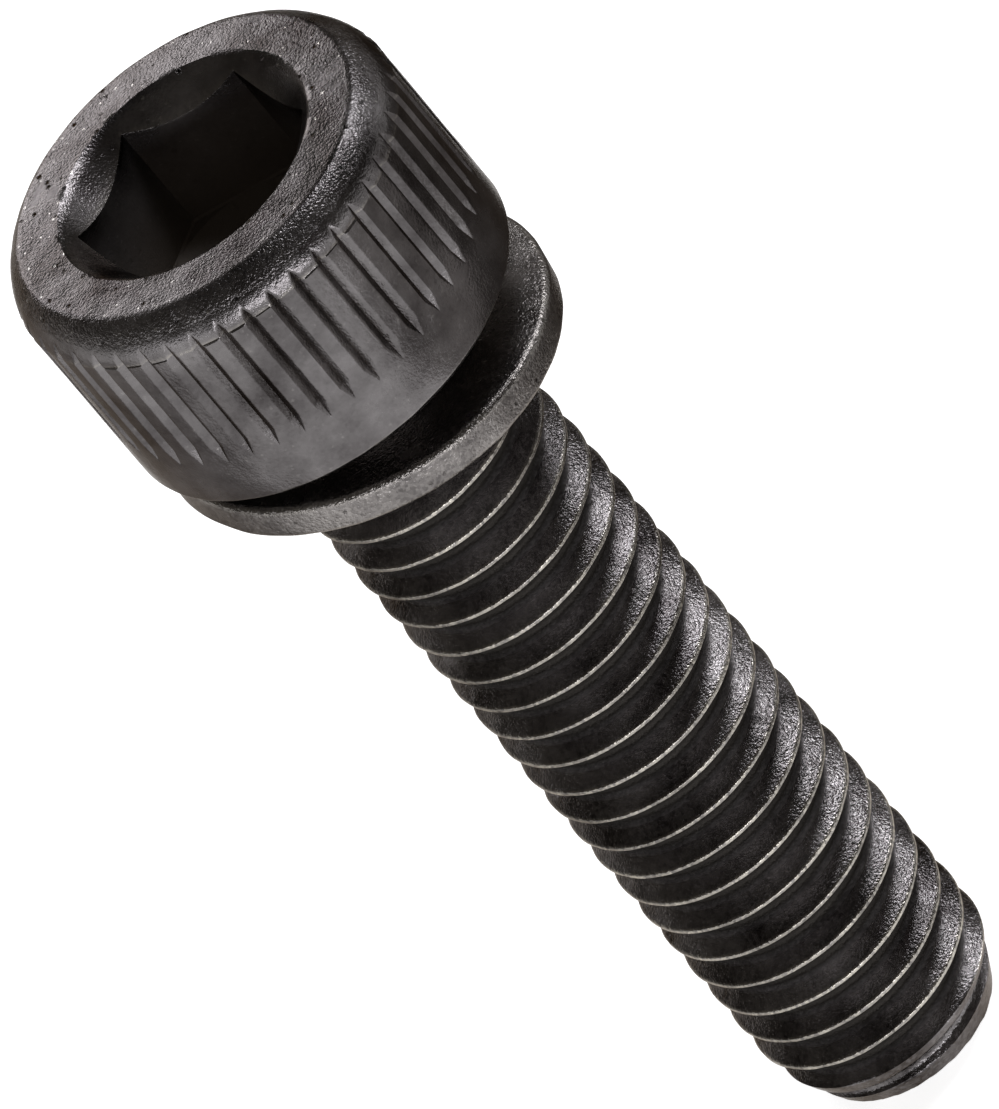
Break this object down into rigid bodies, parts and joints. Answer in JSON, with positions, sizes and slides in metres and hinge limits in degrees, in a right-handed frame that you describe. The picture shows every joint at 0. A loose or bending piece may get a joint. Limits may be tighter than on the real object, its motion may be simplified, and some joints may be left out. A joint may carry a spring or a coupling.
{
  "type": "hex socket head cap screw with captive spring washer",
  "caption": "Steel cap screw with a knurled cylindrical head, a hexagon socket, a right-hand metric thread and a loose split spring washer kept on the neck.",
  "frame": {"origin": "centre of the flat end of the thread", "axes": "+Z along the screw's axis towards the head; the screw stands on its flat end"},
  "size_m": [0.0098, 0.0098, 0.0306],
  "materials": {
    "screw_steel": "black oxide, oiled",
    "washer_steel": "black oxide, satin"
  },
  "bodies": {
    "screw": {"screw": "screw_steel"},
    "washer": {"washer": "washer_steel"}
  },
  "joints": [
    {"name": "washer_spin", "type": "hinge", "parent": "screw", "child": "washer", "pos_m": [0, 0, 0.0236], "axis": [0, 0, 1], "continuous": true}
  ]
}
